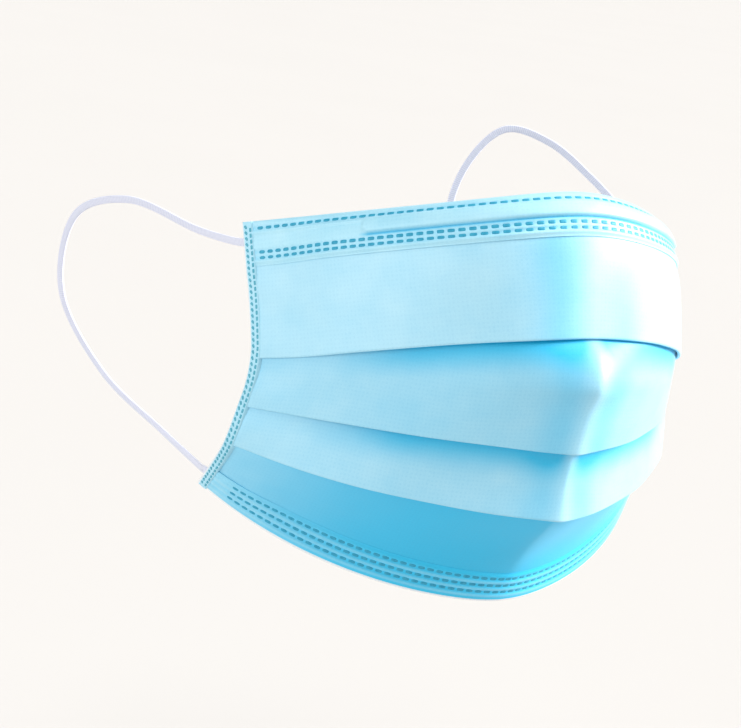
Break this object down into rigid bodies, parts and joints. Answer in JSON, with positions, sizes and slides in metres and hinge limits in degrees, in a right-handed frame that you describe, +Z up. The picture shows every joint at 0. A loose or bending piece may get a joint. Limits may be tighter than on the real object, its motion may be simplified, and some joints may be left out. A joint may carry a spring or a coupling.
{
  "type": "surgical face mask",
  "caption": "Pleated three-layer face mask with a wired nose hem, welded edges and two elastic ear loops, in its worn form.",
  "frame": {"origin": "inside of the top hem at the middle, where the mask sits on the bridge of the nose", "axes": "+Z is up when worn, -Y is the way the mask faces, +X is the wearer's left, and the mask is symmetric about X = 0 apart from how its loops hang"},
  "size_m": [0.1665, 0.1352, 0.11],
  "materials": {
    "body_cloth": "matt pale blue nonwoven cloth",
    "hem_cloth": "matt pale blue nonwoven cloth, folded double",
    "wire_cover": "plastic-covered wire, hidden in the hem",
    "pressed_edge": "cloth pressed and welded with small dots",
    "elastic": "soft white flat elastic"
  },
  "bodies": {
    "root": {"pleated_body": "body_cloth", "top_hem": "hem_cloth", "nose_wire": "wire_cover", "bottom_hem": "hem_cloth", "side_band_right": "pressed_edge", "side_band_left": "pressed_edge", "ear_loop_right": "elastic", "ear_loop_left": "elastic"}
  },
  "joints": []
}
